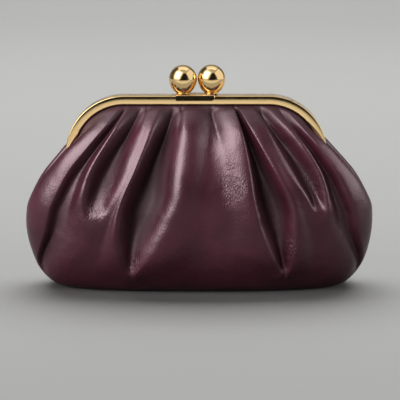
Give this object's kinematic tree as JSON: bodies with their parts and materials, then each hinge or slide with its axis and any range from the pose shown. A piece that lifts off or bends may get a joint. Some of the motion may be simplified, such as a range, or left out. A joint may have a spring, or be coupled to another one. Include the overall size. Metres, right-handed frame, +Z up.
{
  "type": "evening clutch",
  "caption": "Gathered leather evening clutch hung in a hinged metal frame that closes with a ball clasp; the flat-bottomed pouch stands by itself.",
  "frame": {"origin": "on the resting plane, under the middle of the pouch", "axes": "+X along the clutch from the viewer's left to right, +Y from the front to the back, +Z up through the clasp"},
  "size_m": [0.2397, 0.0866, 0.1549],
  "materials": {
    "leather": "smooth, semi-gloss, burgundy",
    "gold_metal": "polished, gold coloured"
  },
  "bodies": {
    "root": {"front_panel": "leather", "back_panel": "leather", "front_frame": "gold_metal", "back_frame": "gold_metal", "front_clasp_plate": "gold_metal", "back_clasp_plate": "gold_metal", "left_ball": "gold_metal", "right_ball": "gold_metal", "left_hinge_rivet": "gold_metal", "right_hinge_rivet": "gold_metal"}
  },
  "joints": []
}
